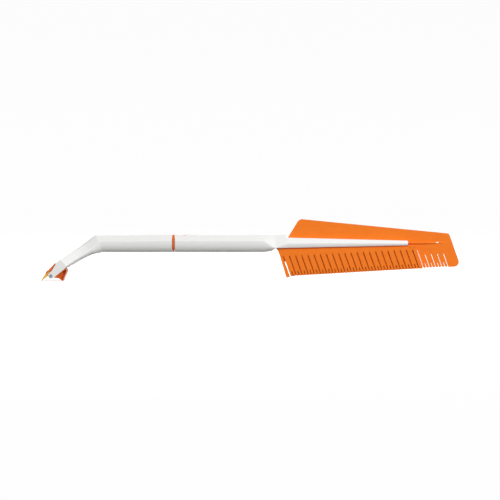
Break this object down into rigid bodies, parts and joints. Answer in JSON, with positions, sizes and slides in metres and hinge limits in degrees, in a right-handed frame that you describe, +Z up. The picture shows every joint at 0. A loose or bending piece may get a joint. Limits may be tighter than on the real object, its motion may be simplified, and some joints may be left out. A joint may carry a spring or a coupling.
{
  "type": "car snow brush with ice scraper",
  "caption": "Long hand-held snow brush: white two-part handle, orange comb brush with a fin, and a rocking scraper head with a brass blade.",
  "frame": {"origin": "under the middle of the overall box, on the surface that the scraper's two edges stand on", "axes": "+X along the handle from the scraper to the brush, +Z up, Y across; symmetric about Y = 0"},
  "size_m": [0.6748, 0.092, 0.0993],
  "materials": {
    "white_plastic": "satin white",
    "orange_panel": "satin orange",
    "orange_plastic": "satin orange",
    "grey_plastic": "matt grey",
    "screw_steel": "zinc plated",
    "axle_steel": "turned",
    "brass": "milled"
  },
  "bodies": {
    "brush_half": {"brush_upper_shell": "white_plastic", "brush_lower_shell": "white_plastic", "center_panel": "orange_panel", "near_comb": "orange_panel", "far_comb": "orange_panel", "comb_pins": "orange_plastic", "spine_screws": "screw_steel", "brush_handle_screws": "screw_steel", "socket_sleeve": "grey_plastic"},
    "button": {"release_button": "orange_plastic"},
    "scraper_half": {"coupling_plug": "orange_plastic", "latch_tongue": "grey_plastic", "tongue_rivet": "screw_steel", "arm_upper_shell": "white_plastic", "arm_lower_shell": "white_plastic", "arm_screws": "screw_steel", "head_axle": "axle_steel"},
    "scraper_head": {"head_carrier": "orange_plastic", "scraper_blade": "brass", "blade_rivets": "axle_steel"}
  },
  "joints": [
    {"name": "handle_pull", "type": "slide", "parent": "brush_half", "child": "scraper_half", "axis": [-1, 0, 0], "range_m": [0, 0.062], "deforming": ["latch_tongue"]},
    {"name": "button_press", "type": "slide", "parent": "brush_half", "child": "button", "axis": [0, 0, -1], "range_m": [0, 0.0025], "stiffness_N_per_m": 800, "deforming": ["latch_tongue"]},
    {"name": "head_rock", "type": "hinge", "parent": "scraper_half", "child": "scraper_head", "pos_m": [-0.3207, 0, 0.0084], "axis": [0, 1, 0], "range_deg": [-8, 8]}
  ]
}
